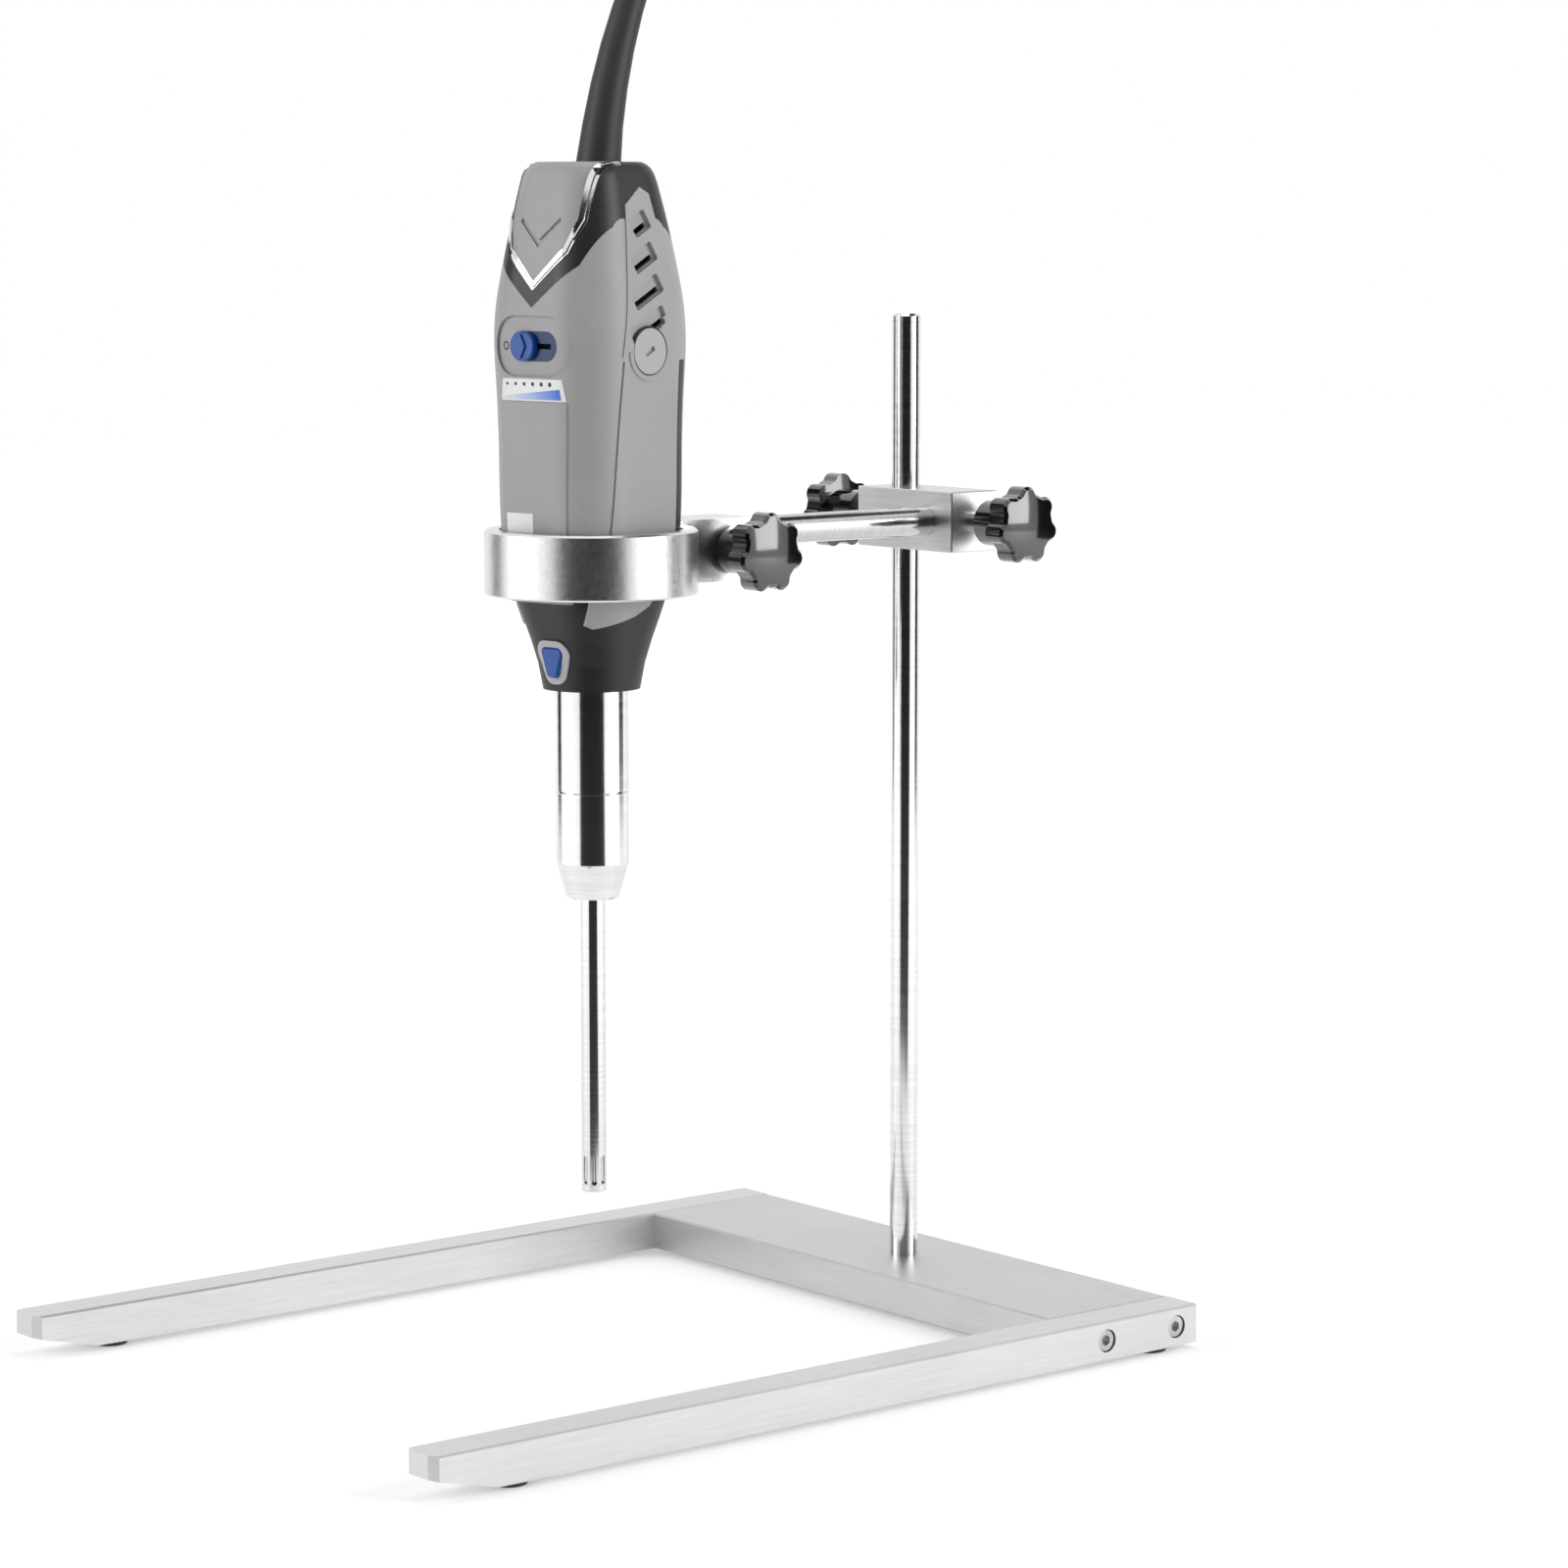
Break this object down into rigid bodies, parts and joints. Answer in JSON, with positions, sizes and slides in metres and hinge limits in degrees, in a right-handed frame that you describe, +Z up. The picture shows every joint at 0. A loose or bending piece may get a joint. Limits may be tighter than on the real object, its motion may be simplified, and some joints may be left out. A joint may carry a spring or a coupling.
{
  "type": "rotor stator homogenizer",
  "caption": "Hand-held rotor-stator homogenizer hung in a holder ring on a bench stand with a rod, clamp head and cross arm.",
  "frame": {"origin": "middle of the stand's footprint on the bench", "axes": "+Z up along the rod, -Y towards the open ends of the legs, +X towards the clamped arm's side"},
  "size_m": [0.296, 0.38, 0.6163],
  "materials": {
    "satin_aluminium": "satin anodised",
    "milled_aluminium": "fine milled",
    "blasted_aluminium": "bead blasted",
    "zinc_steel": "plated",
    "polished_steel": "ground and polished",
    "tube_steel": "polished stainless",
    "black_rubber": "matt",
    "phenolic_black": "glossy moulded",
    "grey_housing": "fine spark-eroded texture",
    "light_grey": "fine texture",
    "grey_cap": "fine texture",
    "black_overmould": "soft matt",
    "black_nose": "fine texture",
    "chrome_trim": "bright plated",
    "blue_plastic": "semi-gloss",
    "label_white": "printed film",
    "circuit_board": "solder mask",
    "brass": "drawn",
    "carbon": "pressed carbon",
    "lamination": "stacked sheet",
    "copper": "enamelled wire",
    "ptfe": "smooth",
    "cord_pvc": "satin sheath"
  },
  "bodies": {
    "stand": {"base_plate": "satin_aluminium", "leg_left": "satin_aluminium", "leg_right": "satin_aluminium", "leg_screws": "zinc_steel", "base_feet": "black_rubber"},
    "rod": {"stand_rod": "polished_steel", "rod_screw": "zinc_steel"},
    "head": {"boss_head": "milled_aluminium"},
    "rod_knob": {"rod_knob": "phenolic_black", "rod_knob_stud": "zinc_steel"},
    "arm_knob": {"arm_knob": "phenolic_black", "arm_knob_stud": "zinc_steel"},
    "arm": {"cross_arm": "polished_steel"},
    "ring": {"holder_ring": "blasted_aluminium", "ring_liner": "black_rubber"},
    "ring_knob": {"ring_knob": "phenolic_black", "ring_knob_stud": "zinc_steel"},
    "slider": {"speed_slider": "blue_plastic"},
    "lock": {"lock_button": "blue_plastic"},
    "spindle": {"armature_core": "lamination", "armature_windings": "copper", "commutator": "copper", "motor_shaft": "polished_steel", "cooling_fan": "black_overmould", "drive_coupling": "zinc_steel", "drive_shaft": "tube_steel", "rotor": "tube_steel"},
    "tool": {"rear_cap": "grey_housing", "chrome_trim": "chrome_trim", "grip_band": "black_overmould", "vent_grilles": "grey_housing", "speed_plate": "grey_housing", "slot_floor": "blue_plastic", "speed_board": "circuit_board", "scale_plate": "label_white", "front_panel": "grey_housing", "grip_strips": "black_overmould", "housing_left": "grey_housing", "housing_right": "grey_housing", "housing_screws": "zinc_steel", "nose_cone": "black_nose", "button_bezel": "light_grey", "brush_caps": "grey_cap", "brush_holders": "brass", "carbon_brushes": "carbon", "brush_springs": "zinc_steel", "field_stack": "lamination", "field_coils": "copper", "front_bearing": "zinc_steel", "rear_bearing": "zinc_steel", "bearing_bracket": "black_overmould", "collar_upper": "polished_steel", "collar_lower": "polished_steel", "stator_tube": "tube_steel", "tube_bushes": "ptfe", "cord_boot": "black_rubber", "power_cord": "cord_pvc", "cord_hank": "cord_pvc", "hank_tie": "black_rubber", "mains_plug": "cord_pvc"}
  },
  "joints": [
    {"name": "boss_swing", "type": "hinge", "parent": "stand", "child": "rod", "pos_m": [0, 0.1595, 0.2], "axis": [0, 0, 1], "range_deg": [-80, 80]},
    {"name": "boss_height", "type": "slide", "parent": "rod", "child": "head", "axis": [0, 0, 1], "range_m": [-0.05, 0.065]},
    {"name": "rod_knob_turn", "type": "hinge", "parent": "head", "child": "rod_knob", "pos_m": [-0.0165, 0.1595, 0.3333], "axis": [-1, 0, 0], "range_deg": [0, 360]},
    {"name": "arm_knob_turn", "type": "hinge", "parent": "head", "child": "arm_knob", "pos_m": [0.0435, 0.1595, 0.3333], "axis": [1, 0, 0], "range_deg": [0, 360]},
    {"name": "arm_slide", "type": "slide", "parent": "head", "child": "arm", "axis": [0, -1, 0], "range_m": [-0.06, 0.012]},
    {"name": "ring_tilt", "type": "hinge", "parent": "arm", "child": "ring", "pos_m": [0.027, 0.034, 0.3333], "axis": [0, 1, 0], "range_deg": [-40, 40]},
    {"name": "ring_knob_turn", "type": "hinge", "parent": "ring", "child": "ring_knob", "pos_m": [0.0395, 0.034, 0.3275], "axis": [1, 0, 0], "range_deg": [0, 360]},
    {"name": "tool_lift", "type": "slide", "parent": "ring", "child": "tool", "axis": [0, 0, 1], "range_m": [0, 0.27]},
    {"name": "spindle_spin", "type": "hinge", "parent": "tool", "child": "spindle", "pos_m": [0.027, -0.026, 0.3], "axis": [0, 0, 1], "continuous": true},
    {"name": "speed_slide", "type": "slide", "parent": "tool", "child": "slider", "axis": [0.9877, 0.1564, 0], "range_m": [0, 0.01]},
    {"name": "lock_press", "type": "slide", "parent": "tool", "child": "lock", "axis": [-0.1564, 0.9877, 0], "range_m": [0, 0.0028], "stiffness_N_per_m": 600, "springref_m": -0.002}
  ]
}
